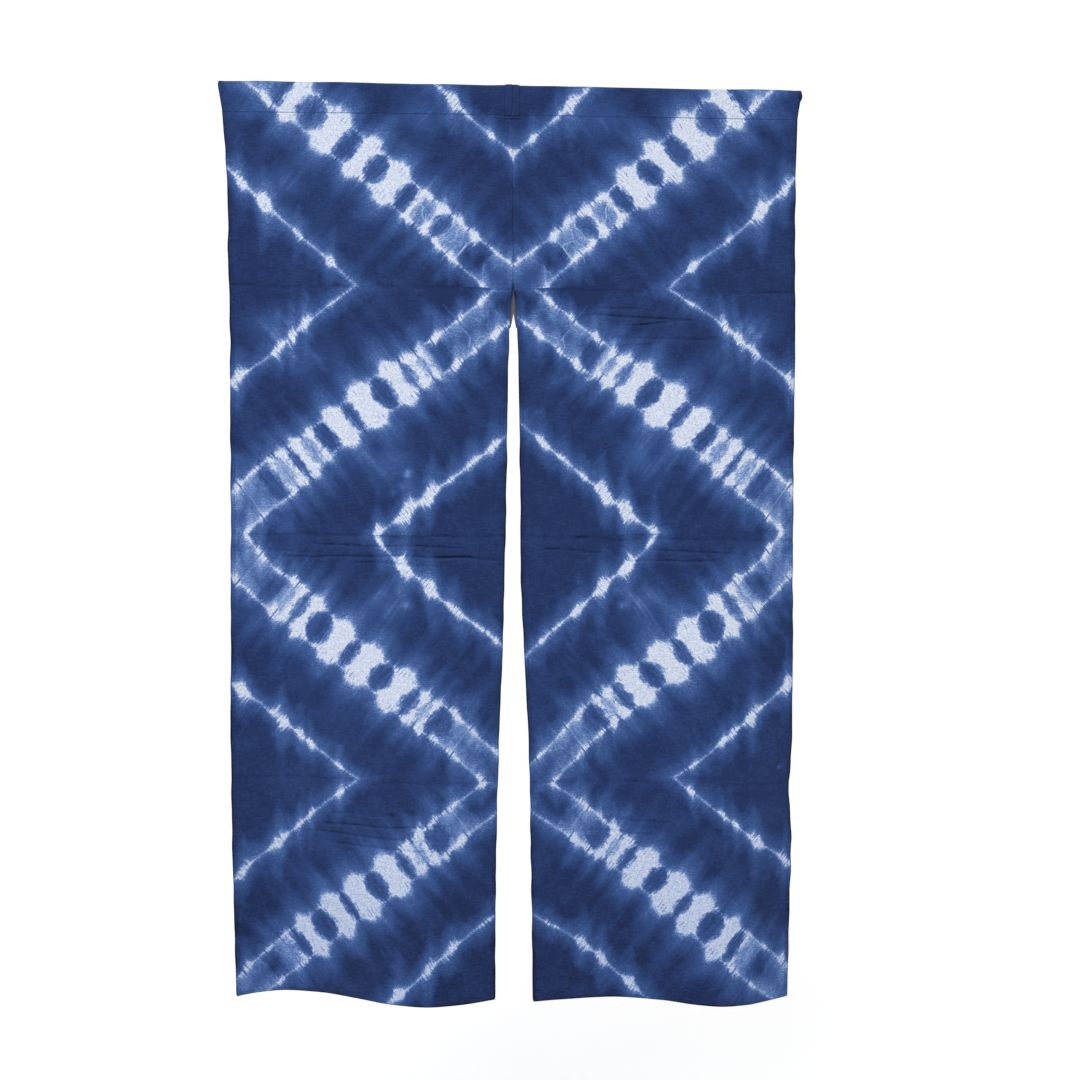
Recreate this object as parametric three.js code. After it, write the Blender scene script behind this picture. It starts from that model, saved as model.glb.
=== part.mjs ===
// A doorway curtain (noren) of two tie-dyed cotton panels, hanging straight down from its rod pocket.
// The panels are sewn together from the top down to the slit. Each panel's top is turned to the back and
// stitched down, which makes the pocket. Below the slit's top each panel hangs free in soft upright folds.
// Millimetres, +Z up. The origin is the middle of the pocket's top edge. X runs along the rod, -Y is the front.
import * as THREE from "three";

// Driving dimensions
const LENGTH = 1480; // from the top edge to the hem
const HEADING_DEPTH = 46; // from the top edge to the stitching that closes the rod pocket
const SLIT_TOP = 315; // the seam between the panels ends here, and the slit begins
const CLOTH = 1.2; // thickness of the cloth
const HEM_WIDTH = 8; // the turned edge of a panel
const HEM_THICKNESS = 2.2; // the turned edge is folded to the back
const ROD_SPACE = 18; // the pocket's inside width, front to back, where it is widest
const POCKET_CLOSING = 3; // height of the strip where the pocket's two layers lie on each other
const GAP = 0.3; // between neighbouring pieces

// How finely the surfaces are divided
const ACROSS = 18;
const DOWN = 36;
const HEADING_STEPS = 8;
const CROWN_STEPS = 10;
const FLANK_STEPS = 4;

// The edges of a panel at a given drop below the top edge: x of its inner edge, beside the seam and the slit,
// x of its outer edge, and how far its folds have opened there, as a share of their depth at the hem.
const LEFT_EDGES = [
  { drop: 0, inner: 0, outer: -471, folds: 0 },
  { drop: HEADING_DEPTH, inner: 0, outer: -466, folds: 0 },
  { drop: 110, inner: 0, outer: -460, folds: 0.02 },
  { drop: 190, inner: 0, outer: -456, folds: 0.06 },
  { drop: SLIT_TOP, inner: 0, outer: -454, folds: 0.14 },
  { drop: 345, inner: -2, outer: -453, folds: 0.17 },
  { drop: 410, inner: -5, outer: -452, folds: 0.23 },
  { drop: 600, inner: -6, outer: -451, folds: 0.4 },
  { drop: 790, inner: -9, outer: -450, folds: 0.55 },
  { drop: 990, inner: -13, outer: -450, folds: 0.72 },
  { drop: 1180, inner: -17, outer: -448, folds: 0.87 },
  { drop: 1330, inner: -16, outer: -444, folds: 0.96 },
  { drop: LENGTH, inner: -15, outer: -440, folds: 1 },
];
const RIGHT_EDGES = [
  { drop: 0, inner: 0, outer: 459, folds: 0 },
  { drop: HEADING_DEPTH, inner: 0, outer: 455, folds: 0 },
  { drop: 110, inner: 0, outer: 452, folds: 0.02 },
  { drop: 190, inner: 0, outer: 452, folds: 0.06 },
  { drop: SLIT_TOP, inner: 0, outer: 453, folds: 0.14 },
  { drop: 345, inner: 5, outer: 454, folds: 0.17 },
  { drop: 410, inner: 9, outer: 455, folds: 0.23 },
  { drop: 600, inner: 15, outer: 457, folds: 0.4 },
  { drop: 790, inner: 19, outer: 459, folds: 0.55 },
  { drop: 990, inner: 31, outer: 463, folds: 0.72 },
  { drop: 1130, inner: 38, outer: 461, folds: 0.84 },
  { drop: 1330, inner: 43, outer: 465, folds: 0.96 },
  { drop: LENGTH, inner: 47, outer: 466, folds: 1 },
];

// The folds of a panel at its hem: how far back the cloth stands at a share of the way from the inner to the
// outer edge. Minus is towards the front.
const LEFT_FOLDS = [
  { share: 0, back: 1 },
  { share: 0.13, back: -22 },
  { share: 0.26, back: -33 },
  { share: 0.4, back: -22 },
  { share: 0.53, back: 2 },
  { share: 0.68, back: 26 },
  { share: 0.82, back: 34 },
  { share: 0.92, back: 24 },
  { share: 1, back: 7 },
];
const RIGHT_FOLDS = [
  { share: 0, back: -7 },
  { share: 0.14, back: 5 },
  { share: 0.32, back: 15 },
  { share: 0.5, back: 3 },
  { share: 0.64, back: -17 },
  { share: 0.73, back: -23 },
  { share: 0.82, back: -16 },
  { share: 0.9, back: 0 },
  { share: 1, back: 24 },
];

// A smooth curve through the rows of a table, which never swings past them: the value of one column where
// another column, the key, is at.
function curveThrough(rows, key, column, at) {
  const last = rows.length - 1;
  const found = rows.findIndex((row) => row[key] >= at);
  const i = Math.min(Math.max(found < 0 ? last : found, 1), last);
  const [a, b] = [rows[i - 1], rows[i]];
  const slope = (left, right) => (right[column] - left[column]) / (right[key] - left[key]);
  const shared = (one, other) => (one * other > 0 ? (2 * one * other) / (one + other) : 0);
  const here = slope(a, b);
  const before = i > 1 ? shared(slope(rows[i - 2], a), here) : here;
  const after = i < last ? shared(slope(b, rows[i + 1]), here) : here;
  const width = b[key] - a[key];
  const t = THREE.MathUtils.clamp((at - a[key]) / width, 0, 1);
  const [t2, t3] = [t * t, t * t * t];
  return (
    (2 * t3 - 3 * t2 + 1) * a[column] +
    (t3 - 2 * t2 + t) * width * before +
    (3 * t2 - 2 * t3) * b[column] +
    (t3 - t2) * width * after
  );
}

// A panel's front face at a share of its width and a drop below the top edge.
function clothPoint({ edges, folds, side }, share, drop) {
  const inner = curveThrough(edges, "drop", "inner", drop) + (side * GAP) / 2;
  const outer = curveThrough(edges, "drop", "outer", drop);
  const opened = curveThrough(edges, "drop", "folds", drop);
  const back = opened * curveThrough(folds, "share", "back", share);
  return new THREE.Vector3(inner + share * (outer - inner), back, -drop);
}

// The direction straight back through the cloth, which keeps its thickness even on the folds. The inner edge
// is square, so that it stays clear of the other panel's.
function clothBack(panel, share, drop) {
  if (share === 0) return new THREE.Vector3(0, 1, 0);
  const step = 0.01;
  const here = clothPoint(panel, Math.max(share - step, 0), drop);
  const next = clothPoint(panel, Math.min(share + step, 1), drop);
  const along = next.sub(here).multiplyScalar(panel.side).setZ(0).normalize();
  return new THREE.Vector3(-along.y, along.x, 0);
}

// Even steps between two turned edges, with a row on each side of the place where a turned edge ends.
function stepsBetween(start, end, count, hemAtStart) {
  const hemRun = 1;
  const first = hemAtStart ? [start, start + HEM_WIDTH, start + HEM_WIDTH + hemRun] : [start];
  const last = [end - HEM_WIDTH - hemRun, end - HEM_WIDTH, end];
  const [low, high] = [first.at(-1), last[0]];
  const middle = Array.from({ length: count - 1 }, (_, i) => low + ((i + 1) * (high - low)) / count);
  return [...first, ...middle, ...last];
}

// One panel below the heading: a thin sheet in its folds, thicker along its turned edges.
function panelGeometry(panel) {
  const top = HEADING_DEPTH + GAP;
  const width = Math.abs(panel.edges[1].outer);
  const shares = stepsBetween(0, width, ACROSS, true).map((across) => across / width);
  const drops = stepsBetween(top, LENGTH, DOWN, false);
  const nearEdge = (share) => Math.min(share, 1 - share) * width <= HEM_WIDTH;
  const nearHem = (drop) => LENGTH - drop <= HEM_WIDTH;

  const faces = { front: [], back: [] };
  for (const drop of drops) {
    for (const share of shares) {
      const front = clothPoint(panel, share, drop);
      const thick = nearEdge(share) || nearHem(drop) ? HEM_THICKNESS : CLOTH;
      faces.front.push(front);
      faces.back.push(clothBack(panel, share, drop).multiplyScalar(thick).add(front));
    }
  }

  const columns = shares.length;
  const behind = faces.front.length;
  const corner = (row, column) => row * columns + column;
  const index = [];
  const quad = (a, b, c, d) => {
    const order = panel.side < 0 ? [a, b, c, a, c, d] : [a, c, b, a, d, c];
    index.push(...order);
  };
  for (let row = 0; row + 1 < drops.length; row++) {
    for (let column = 0; column + 1 < columns; column++) {
      const [a, b] = [corner(row, column), corner(row, column + 1)];
      const [c, d] = [corner(row + 1, column + 1), corner(row + 1, column)];
      quad(a, b, c, d);
      quad(b + behind, a + behind, d + behind, c + behind);
    }
  }
  const rim = [];
  for (let column = 0; column < columns - 1; column++) rim.push(corner(0, column));
  for (let row = 0; row < drops.length - 1; row++) rim.push(corner(row, columns - 1));
  for (let column = columns - 1; column > 0; column--) rim.push(corner(drops.length - 1, column));
  for (let row = drops.length - 1; row > 0; row--) rim.push(corner(row, 0));
  rim.forEach((a, i) => {
    const b = rim[(i + 1) % rim.length];
    quad(b, a, a + behind, b + behind);
  });

  const geometry = new THREE.BufferGeometry().setFromPoints([...faces.front, ...faces.back]);
  geometry.setIndex(index);
  geometry.computeVertexNormals();
  return geometry;
}

// Half of the rod pocket's outline, from its foot up to the crown: a round crown over the rod's place, and
// flanks that run down to where the two layers meet. The radius and foot are those of its outside or inside.
function pocketFlank(radius, footHalf, footDrop) {
  const crownDrop = ROD_SPACE / 2 + CLOTH;
  const points = [];
  for (let i = 0; i < FLANK_STEPS; i++) {
    const up = i / FLANK_STEPS;
    const half = footHalf + (radius - footHalf) * Math.sin((up * Math.PI) / 2) ** 1.15;
    points.push(new THREE.Vector2(half, -footDrop + up * (footDrop - crownDrop)));
  }
  for (let i = 0; i < CROWN_STEPS / 2; i++) {
    const angle = (i / CROWN_STEPS) * Math.PI;
    points.push(new THREE.Vector2(radius * Math.cos(angle), radius * Math.sin(angle) - crownDrop));
  }
  return points;
}

// The whole outline: one flank, the top of the crown and the mirrored flank.
function pocketOutline(radius, footHalf, footDrop) {
  const flank = pocketFlank(radius, footHalf, footDrop);
  const top = new THREE.Vector2(0, radius - ROD_SPACE / 2 - CLOTH);
  const mirrored = flank.map((p) => new THREE.Vector2(-p.x, p.y)).reverse();
  const outline = [...flank, top, ...mirrored];
  return footHalf > 0 ? outline : outline.slice(0, -1);
}

// One panel's share of the rod pocket: a flattened tube, open at both ends, with its outer end cut to the
// slant of the panel's edge.
function headingGeometry(panel) {
  const section = new THREE.Shape(pocketOutline(ROD_SPACE / 2 + CLOTH, CLOTH, HEADING_DEPTH));
  section.holes.push(new THREE.Path(pocketOutline(ROD_SPACE / 2, 0, HEADING_DEPTH - POCKET_CLOSING)));
  const geometry = new THREE.ExtrudeGeometry(section, {
    depth: 1,
    steps: HEADING_STEPS,
    bevelEnabled: false,
  });
  const position = geometry.getAttribute("position");
  for (let i = 0; i < position.count; i++) {
    const [depth, height, share] = [position.getX(i), position.getY(i), position.getZ(i)];
    const along = panel.side < 0 ? 1 - share : share;
    const outer = curveThrough(panel.edges, "drop", "outer", -height);
    const inner = (panel.side * GAP) / 2;
    position.setXYZ(i, inner + along * (outer - inner), depth, height);
  }
  geometry.computeVertexNormals();
  return geometry;
}

function indigoCotton() {
  return new THREE.MeshStandardMaterial({ color: 0x2b3d6e, roughness: 0.9, metalness: 0 });
}

const PANELS = [
  { name: "left", side: -1, edges: LEFT_EDGES, folds: LEFT_FOLDS },
  { name: "right", side: 1, edges: RIGHT_EDGES, folds: RIGHT_FOLDS },
];

const curtain = new THREE.Group();
for (const panel of PANELS) {
  const sheet = new THREE.Mesh(panelGeometry(panel), indigoCotton());
  sheet.name = `panel_${panel.name}`;
  const heading = new THREE.Mesh(headingGeometry(panel), indigoCotton());
  heading.name = `heading_${panel.name}`;
  curtain.add(sheet, heading);
}

export default curtain;
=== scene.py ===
"""A doorway curtain of two indigo tie-dyed cotton panels, hanging from its rod pocket.

Cloth sizes are in millimetres here and become metres where a mesh is made. On the cloth, across is the way from
a panel's inner edge, beside the seam and the slit, to its outer edge, and drop is the way down from the top edge.
"""
import math

import bpy
import numpy as np
from mathutils import Matrix, Vector


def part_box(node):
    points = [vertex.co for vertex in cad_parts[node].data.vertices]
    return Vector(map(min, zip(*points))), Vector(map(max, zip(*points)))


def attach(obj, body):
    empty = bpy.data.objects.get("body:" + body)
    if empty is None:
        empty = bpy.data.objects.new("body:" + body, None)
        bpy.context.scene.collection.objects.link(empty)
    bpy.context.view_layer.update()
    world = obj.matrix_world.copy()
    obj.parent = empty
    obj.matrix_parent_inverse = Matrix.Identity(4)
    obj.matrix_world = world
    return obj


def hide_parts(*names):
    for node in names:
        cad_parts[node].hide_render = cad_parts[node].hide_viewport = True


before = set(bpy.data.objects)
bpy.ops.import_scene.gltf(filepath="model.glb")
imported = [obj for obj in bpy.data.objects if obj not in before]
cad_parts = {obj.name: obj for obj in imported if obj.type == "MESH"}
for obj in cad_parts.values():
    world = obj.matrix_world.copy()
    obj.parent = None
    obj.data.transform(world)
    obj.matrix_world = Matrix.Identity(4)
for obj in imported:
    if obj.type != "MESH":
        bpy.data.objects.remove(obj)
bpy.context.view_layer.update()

MM = 0.001
LENGTH = -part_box("panel_left")[0][2] / MM
HEADING_DEPTH = 46.0  # from the top edge to the pocket's stitching
SLIT_TOP = 315.0
CLOTH = 0.7  # the thickness of the cloth here
CAD_CLOTH = 1.2  # and in the CAD
FLAT_WIDTH = 456.0
ROD_SPACE = 18.0  # the open way through the pocket
FLAP_END = 51.0  # the lower edge of the pocket's flap, on the back
HEM_SIDE = 8.0
HEM_FOOT = 6.0
HEM_LAYERS = 1.1  # how much thicker the turned cloth is
SEAM_STRIP = 11.5  # the seam's turnings under each panel
SEAM_GAP = 0.06
TACK_ROWS = (47.6, 52.4)  # drops of the bar tack's two rows
FAN_CREASES = (321, 719, 1118)  # drops where the cloth was folded like a fan

SIDES = {"left": -1, "right": 1}
# Times its side, this sets a panel's noise in the dye apart from the other panel's
PANEL_SEED = 37.0


def table(names, rows):
    """Rows of values, each under the given names."""
    return [dict(zip(names.split(), row)) for row in rows]


# A panel's inner and outer edge (x) at a drop, and how far its folds have opened there
EDGES = {
    "left": table("drop inner outer folds", [
        (0, -4.3, -471, 0), (46, -4, -466, 0), (110, -2.8, -460, 0.02), (190, -1.2, -456, 0.06),
        (303, 0.3, -454.2, 0.13), (345, -2, -453, 0.17), (410, -5, -452, 0.23), (600, -6, -451, 0.4),
        (790, -7.4, -450, 0.55), (990, -11.6, -450, 0.72), (1180, -15.6, -448, 0.87), (1330, -16, -444, 0.96),
        (1480, -15, -440, 1),
    ]),
    "right": table("drop inner outer folds", [
        (0, -4.3, 459, 0), (46, -4, 455, 0), (110, -2.8, 452, 0.02), (190, -1.2, 453, 0.06), (303, 0.3, 455, 0.13),
        (345, 4.6, 456, 0.17), (410, 9, 457.5, 0.23), (600, 15, 460, 0.4), (790, 19, 463.5, 0.55),
        (990, 31, 468, 0.72), (1080, 36, 468.5, 0.8), (1125, 38, 465.5, 0.84), (1215, 40, 472, 0.9),
        (1330, 43, 471, 0.96), (1480, 47, 471, 1),
    ]),
}

# The folds at the hem: how far back the cloth stands at a share of the way from the inner to the outer edge
FOLDS = {
    "left": table("share back", [
        (0, 1), (0.13, -22), (0.26, -33), (0.4, -22), (0.53, 2), (0.68, 26), (0.82, 34), (0.92, 24), (1, 7),
    ]),
    "right": table("share back", [
        (0, -7), (0.14, 5), (0.32, 15), (0.5, 3), (0.64, -17), (0.73, -23), (0.82, -16), (0.9, 0), (1, 24),
    ]),
}

# The cloth was folded like a fan before it was tied, so each fold of the dye mirrors the one above it. A fold's
# near crease is the one where the band turns beside the slit. The band stayed white between two ways across.
DYE_FOLDS = table("near far white_from white_to", [
    (FAN_CREASES[0], -77, 110, 363), (FAN_CREASES[0], FAN_CREASES[1], 124, 374),
    (FAN_CREASES[2], FAN_CREASES[1], 106, 354), (FAN_CREASES[2], 1517, 106, 354),
])

# Four tied lines cross each fold, and the band lies between the upper and the lower one. A line's points are the
# way across the cloth and the way from the near crease. Its blobs, where more stayed white, are the way across,
# the size along the line and how white.
TIED_LINES = table("fold line points blobs", [
    (0, "outer", [(246, 0), (288, 38), (352, 87), (402, 133), (456, 184)],
     [(440, 14, 0.75), (400, 17, 0.95), (346, 9, 0.6), (289, 11, 0.7)]),
    (0, "upper", [(40, -5), (98, 48), (194, 128), (289, 207), (338, 249), (456, 347)],
     [(414, 9, 0.4), (392, 14, 0.6), (172, 9, 0.75), (147, 8, 0.57), (124, 9, 0.62), (100, 11, 0.68),
      (45, 8, 0.65)]),
    (0, "lower", [(0, 38), (56, 78), (106, 121), (163, 165), (204, 208), (257, 249), (302, 292), (420, 400)],
     [(138, 14, 0.68), (112, 11, 0.76), (88, 12, 0.82), (66, 10, 0.8), (30, 16, 0.28), (3, 8, 0.45)]),
    (0, "inner", [(0, 209), (39, 240), (74, 271), (108, 302), (220, 400)],
     [(120, 8, 0.5), (100, 16, 0.85), (76, 8, 0.5), (36, 9, 0.6), (0, 10, 0.7)]),
    (1, "outer", [(246, 0), (322, 57), (364, 95), (425, 142), (456, 168)],
     [(434, 16, 0.88), (368, 12, 0.8), (347, 11, 0.85), (325, 11, 0.8), (278, 16, 0.3)]),
    (1, "upper", [(26, 0), (62, 33), (130, 87), (181, 116), (318, 229), (399, 291), (456, 343)],
     [(442, 8, 0.8), (416, 12, 0.5), (395, 9, 0.5), (119, 9, 0.7), (83, 8, 0.62), (49, 9, 0.65)]),
    (1, "lower", [(0, 52), (86, 123), (141, 163), (280, 267), (318, 308), (402, 374), (430, 400)],
     [(424, 7, 0.6), (402, 8, 0.6), (355, 14, 0.5), (84, 11, 0.75), (54, 8, 0.58), (23, 10, 0.68), (4, 5, 0.45)]),
    (1, "inner", [(0, 225), (60, 277), (158, 359), (213, 400)],
     [(210, 11, 0.85), (160, 17, 1.05), (124, 16, 1.0), (88, 12, 0.5), (60, 15, 0.62), (26, 14, 0.62)]),
    (2, "outer", [(237, 0), (267, 18), (328, 63), (399, 120), (456, 167)],
     [(430, 15, 0.92), (368, 16, 1.0), (334, 10, 0.7), (317, 9, 0.65), (268, 10, 0.5)]),
    (2, "upper", [(25, 0), (105, 69), (172, 113), (308, 217), (399, 286), (456, 336)],
     [(440, 8, 0.7), (418, 9, 0.45), (376, 13, 0.9), (154, 10, 0.6), (133, 8, 0.85), (108, 9, 0.6),
      (78, 11, 0.65), (29, 9, 0.7)]),
    (2, "lower", [(0, 43), (90, 121), (135, 154), (278, 265), (315, 301), (362, 329), (402, 363), (430, 399)],
     [(426, 7, 0.5), (402, 9, 0.7), (372, 10, 0.5), (345, 14, 0.85), (74, 10, 0.75), (44, 10, 0.5), (4, 9, 0.5)]),
    (2, "inner", [(0, 211), (37, 244), (119, 314), (186, 367), (213, 399)],
     [(203, 10, 0.5), (162, 15, 1.02), (118, 16, 0.97), (76, 15, 0.72), (44, 11, 0.45), (22, 12, 0.52)]),
    (3, "outer", [(238, 0), (316, 64), (371, 111), (421, 149), (456, 180)],
     [(431, 14, 0.8), (373, 15, 0.95), (335, 9, 0.7), (317, 7, 0.6), (266, 9, 0.75)]),
    (3, "upper", [(22, 0), (78, 41), (129, 86), (213, 150), (320, 232), (399, 294), (456, 341)],
     [(437, 10, 0.75), (400, 9, 0.4), (370, 14, 0.5), (150, 9, 0.6), (129, 9, 0.9), (107, 8, 0.7),
      (78, 12, 0.65), (26, 9, 0.7)]),
    (3, "lower", [(0, 57), (83, 116), (177, 188), (283, 274), (376, 347), (456, 407)],
     [(378, 10, 0.5), (340, 14, 0.7), (80, 10, 0.7), (58, 14, 0.7), (3, 8, 0.3)]),
    (3, "inner", [(0, 222), (27, 238), (78, 271), (143, 327), (210, 379)],
     [(168, 16, 0.85), (113, 14, 0.85), (78, 16, 0.75), (18, 14, 0.45)]),
])

# The blue marks across the band, between the upper and the lower line: the way across the cloth to a mark's middle,
# half its width along the band, half its length across the band and the blue that it took
MARKS = table("fold across half reach blue", [
    (0, 364, 12, 44, 0.95), (0, 323, 26, 31, 0.74), (0, 268, 19, 38, 0.92), (0, 222, 21, 27, 0.88),
    (0, 175, 16, 34, 0.95), (0, 147, 18, 32, 0.53), (0, 119, 17, 27, 0.82), (0, 91, 18, 32, 0.55),
    (0, 62, 20, 90, 0.97), (0, 17, 24, 120, 0.67),
    (1, 8, 21, 60, 0.94), (1, 68, 20, 120, 0.58), (1, 108, 14, 60, 0.97), (1, 134, 10, 20, 0.42),
    (1, 158, 12, 26, 0.66), (1, 200, 20, 36, 0.97), (1, 250, 13, 33, 0.9), (1, 292, 17, 38, 0.99),
    (1, 316, 13, 27, 0.44), (1, 341, 9, 32, 0.95), (1, 362, 14, 28, 0.38), (1, 384, 14, 70, 0.94),
    (1, 421, 20, 120, 0.5),
    (2, 12, 22, 80, 0.74), (2, 64, 17, 120, 0.52), (2, 103, 20, 34, 0.9), (2, 127, 10, 20, 0.38),
    (2, 151, 14, 31, 0.88), (2, 201, 21, 30, 0.95), (2, 251, 14, 32, 0.92), (2, 300, 24, 30, 0.92),
    (2, 336, 12, 33, 0.74), (2, 359, 12, 26, 0.4), (2, 382, 14, 70, 0.85), (2, 419, 20, 120, 0.5),
    (3, 22, 26, 80, 0.86), (3, 67, 12, 120, 0.5), (3, 99, 19, 33, 0.9), (3, 126, 10, 20, 0.4),
    (3, 151, 13, 33, 0.9), (3, 201, 20, 30, 0.94), (3, 251, 12, 32, 0.93), (3, 298, 23, 32, 0.92),
    (3, 341, 13, 34, 0.95), (3, 361, 14, 28, 0.42), (3, 388, 13, 70, 0.88), (3, 424, 18, 120, 0.52),
])

# Thin pale lines straight across the band, where a fold of the tied cloth kept the dye out
CROSS_LINES = table("fold across white", [
    (0, 79, 0.5), (0, 133, 0.55), (1, 419, 0.4), (2, 417, 0.38), (2, 66, 0.4), (3, 62, 0.4),
])

# Thin pale strands in the blue between the lines: points across the cloth and away from the near crease
STRANDS = table("fold white points", [
    (0, 0.55, [(154, 139), (163, 133), (171, 120)]),
    (0, 0.6, [(155, 139), (147, 128), (150, 117), (145, 106), (151, 94)]),
    (0, 0.5, [(126, 121), (137, 107), (142, 95), (135, 81)]), (0, 0.65, [(77, 70), (84, 57), (91, 47)]),
    (0, 0.45, [(82, 72), (98, 77), (110, 70), (119, 57)]), (0, 0.45, [(81, 97), (92, 96), (95, 83)]),
    (0, 0.55, [(112, 44), (110, 54), (100, 51), (90, 44)]), (0, 0.7, [(166, 169), (155, 159)]),
    (0, 0.26, [(22, 55), (35, 54), (46, 42), (48, 21), (46, 2)]), (1, 0.25, [(36, 5), (20, 5), (0, 3)]),
    (1, 0.5, [(73, 68), (63, 79), (64, 93)]), (1, 0.35, [(83, 52), (97, 41), (107, 30)]),
    (1, 0.35, [(54, 80), (44, 77), (32, 72)]),
])

# Soft patches where the dye came out paler or deeper than around them: the place on the cloth, half the width and
# the height, and how much deeper
PATCHES = table("panel across drop wide tall deeper", [
    ("both", 92, 320, 52, 27, 0.18), ("both", 188, 598, 34, 30, -0.42), ("both", 188, 829, 36, 32, -0.4),
    ("both", 150, 48, 34, 28, -0.38), ("both", 375, 155, 40, 32, -0.26), ("both", 380, 383, 28, 26, -0.34),
    ("both", 322, 440, 26, 26, -0.28), ("both", 30, 325, 52, 44, 0.12), ("left", 12, 1090, 28, 28, 0.2),
    ("right", 0, 1110, 34, 32, 0.26), ("left", 386, 612, 32, 24, 0.08), ("left", 350, 1250, 120, 220, -0.06),
])

# Small pale spots away from the lines, where dye did not take: across, drop, size and how white
SPOTS = {
    "left": [(159, 831, 8, 0.4), (176, 807, 7, 0.35), (162, 620, 7, 0.45), (172, 640, 8, 0.3), (186, 650, 8, 0.25)],
    "right": [(169, 829, 7, 0.4), (160, 808, 6, 0.3), (435, 1093, 2.6, 1.0)],
}

# The folding was not quite even, so the pattern lies a little off its chart on each panel: how far out and how far
# down, near a panel's inner and its outer edge, at a drop
DRIFT = {
    "left": table("drop inner_out outer_out inner_down outer_down", [
        (0, -7, -9, 0, 2), (74, -4, -9, -2, 4), (148, -4, -4, 0, 3), (222, -4, -3, 2, 2), (297, 2, 9, 0, -3),
        (371, 0, 12, 0, 1), (446, 2, 8, 4, 1), (520, 0, 9, 5, -1), (595, 0, 6, 5, -5), (669, 2, 2, 1, -4),
        (743, 3, 5, 0, 0), (818, 5, 8, -1, -1), (892, -4, 14, 0, 4), (966, -2, 7, -3, 3), (1041, 1, 8, 0, 0),
        (1115, 0, 5, 0, 0), (1190, 2, 9, -4, 1), (1264, 1, 8, -3, -2), (1339, -2, 6, -3, -3), (1413, 0, 3, 1, -4),
        (1480, 0, 3, 1, -4),
    ]),
    "right": table("drop inner_out outer_out inner_down outer_down", [
        (0, -5, -11, 0, 0), (74, -4, -6, 0, 3), (148, 1, -2, -1, 3), (222, 1.5, 0, -1, 2), (297, 4, 1.5, -1.5, -3),
        (371, 10, 14.5, -2, -4), (446, 14, 18, -1, -4), (520, 13.5, 15, -2, -8), (669, 18, 9.5, -2, -14),
        (743, 19, 9.2, -2, -14), (818, 19, 14, -4, -15), (892, 11, 14, -3, -10), (966, 12, 15.5, -5, -15),
        (1041, 16, 14.5, -3, -22), (1115, 14, 11, -1, -17), (1190, 19, 16.5, -1, -18), (1264, 19, 12.5, -1, -24),
        (1339, 16, 10, -1, -25), (1413, 8, 8.5, -3, -21), (1480, 5, 3.5, -3, -18),
    ]),
}

# Soft storage creases: a line on the cloth from one point to another, and how deep it is pressed
CREASES = table("panel from to depth width", [
    *[("both", (0, drop), (FLAT_WIDTH, drop), depth, 3.0) for drop, depth in zip(FAN_CREASES, (0.5, 0.6, 0.5))],
    ("right", (137, 348), (205, 350), 0.9, 1.8), ("right", (112, 361), (278, 366), 1.1, 1.9),
    ("right", (170, 374), (300, 370), 0.9, 1.8), ("right", (150, 395), (330, 398), 0.6, 2.4),
    ("right", (150, 408), (236, 406), 0.6, 2.2),
    ("left", (60, 737), (330, 735), 0.9, 2.0), ("left", (30, 752), (390, 754), 1.0, 1.9),
    ("left", (110, 766), (260, 764), 0.7, 1.9), ("right", (210, 738), (360, 741), 0.8, 1.9),
    ("right", (170, 757), (330, 754), 0.9, 1.9), ("right", (210, 706), (246, 694), 0.9, 1.8),
    ("left", (2, 757), (120, 752), 0.9, 1.9), ("left", (300, 748), (440, 742), 0.6, 2.2),
    ("right", (20, 738), (150, 742), 0.6, 2.0), ("left", (60, 1160), (300, 1178), 0.9, 2.0),
    ("left", (80, 1186), (320, 1196), 1.0, 1.9), ("left", (120, 1212), (340, 1206), 0.9, 1.9),
    ("left", (110, 1228), (300, 1222), 0.8, 1.9), ("right", (120, 1178), (250, 1184), 0.6, 2.2),
    ("right", (60, 1196), (220, 1206), 0.6, 2.0),
])


def curve_through(rows, key, column, at):
    """A smooth curve through a table's rows, which never swings past them."""
    keys = np.array([row[key] for row in rows], float)
    values = np.array([row[column] for row in rows], float)
    at = np.clip(np.asarray(at, float), keys[0], keys[-1])
    slopes = np.diff(values) / np.diff(keys)
    one, other = slopes[:-1], slopes[1:]
    total = np.where(one + other == 0, 1, one + other)
    shared = np.where(one * other > 0, 2 * one * other / total, 0)
    tangents = np.concatenate([slopes[:1], shared, slopes[-1:]])
    i = np.clip(np.searchsorted(keys, at) - 1, 0, len(keys) - 2)
    width = keys[i + 1] - keys[i]
    t = (at - keys[i]) / width
    return (
        (2 * t**3 - 3 * t**2 + 1) * values[i]
        + (t**3 - 2 * t**2 + t) * width * tangents[i]
        + (3 * t**2 - 2 * t**3) * values[i + 1]
        + (t**3 - t**2) * width * tangents[i + 1]
    )


def smooth(x, low, high):
    """0 below low, 1 above high, and a smooth step between them."""
    t = np.clip((np.asarray(x, float) - low) / (high - low), 0, 1)
    return t * t * (3 - 2 * t)


def hill(x, width=1.0):
    """1 at zero, falling off like a bell."""
    return np.exp(-((x / width) ** 2))


def soft_noise(seed, x, y, scale_x, scale_y, waves=14):
    """Gentle seeded unevenness between about -1 and 1, with features of about the given scales."""
    rng = np.random.default_rng(seed)
    total = np.zeros(np.broadcast(x, y).shape)
    for _ in range(waves):
        angle, phase = rng.uniform(0, 2 * math.pi, 2)
        reach = rng.uniform(0.6, 1.6)
        total += np.sin(reach * (np.cos(angle) * x / scale_x + np.sin(angle) * y / scale_y) * 2 * math.pi + phase)
    return total * math.sqrt(2 / waves) * 0.5


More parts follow.
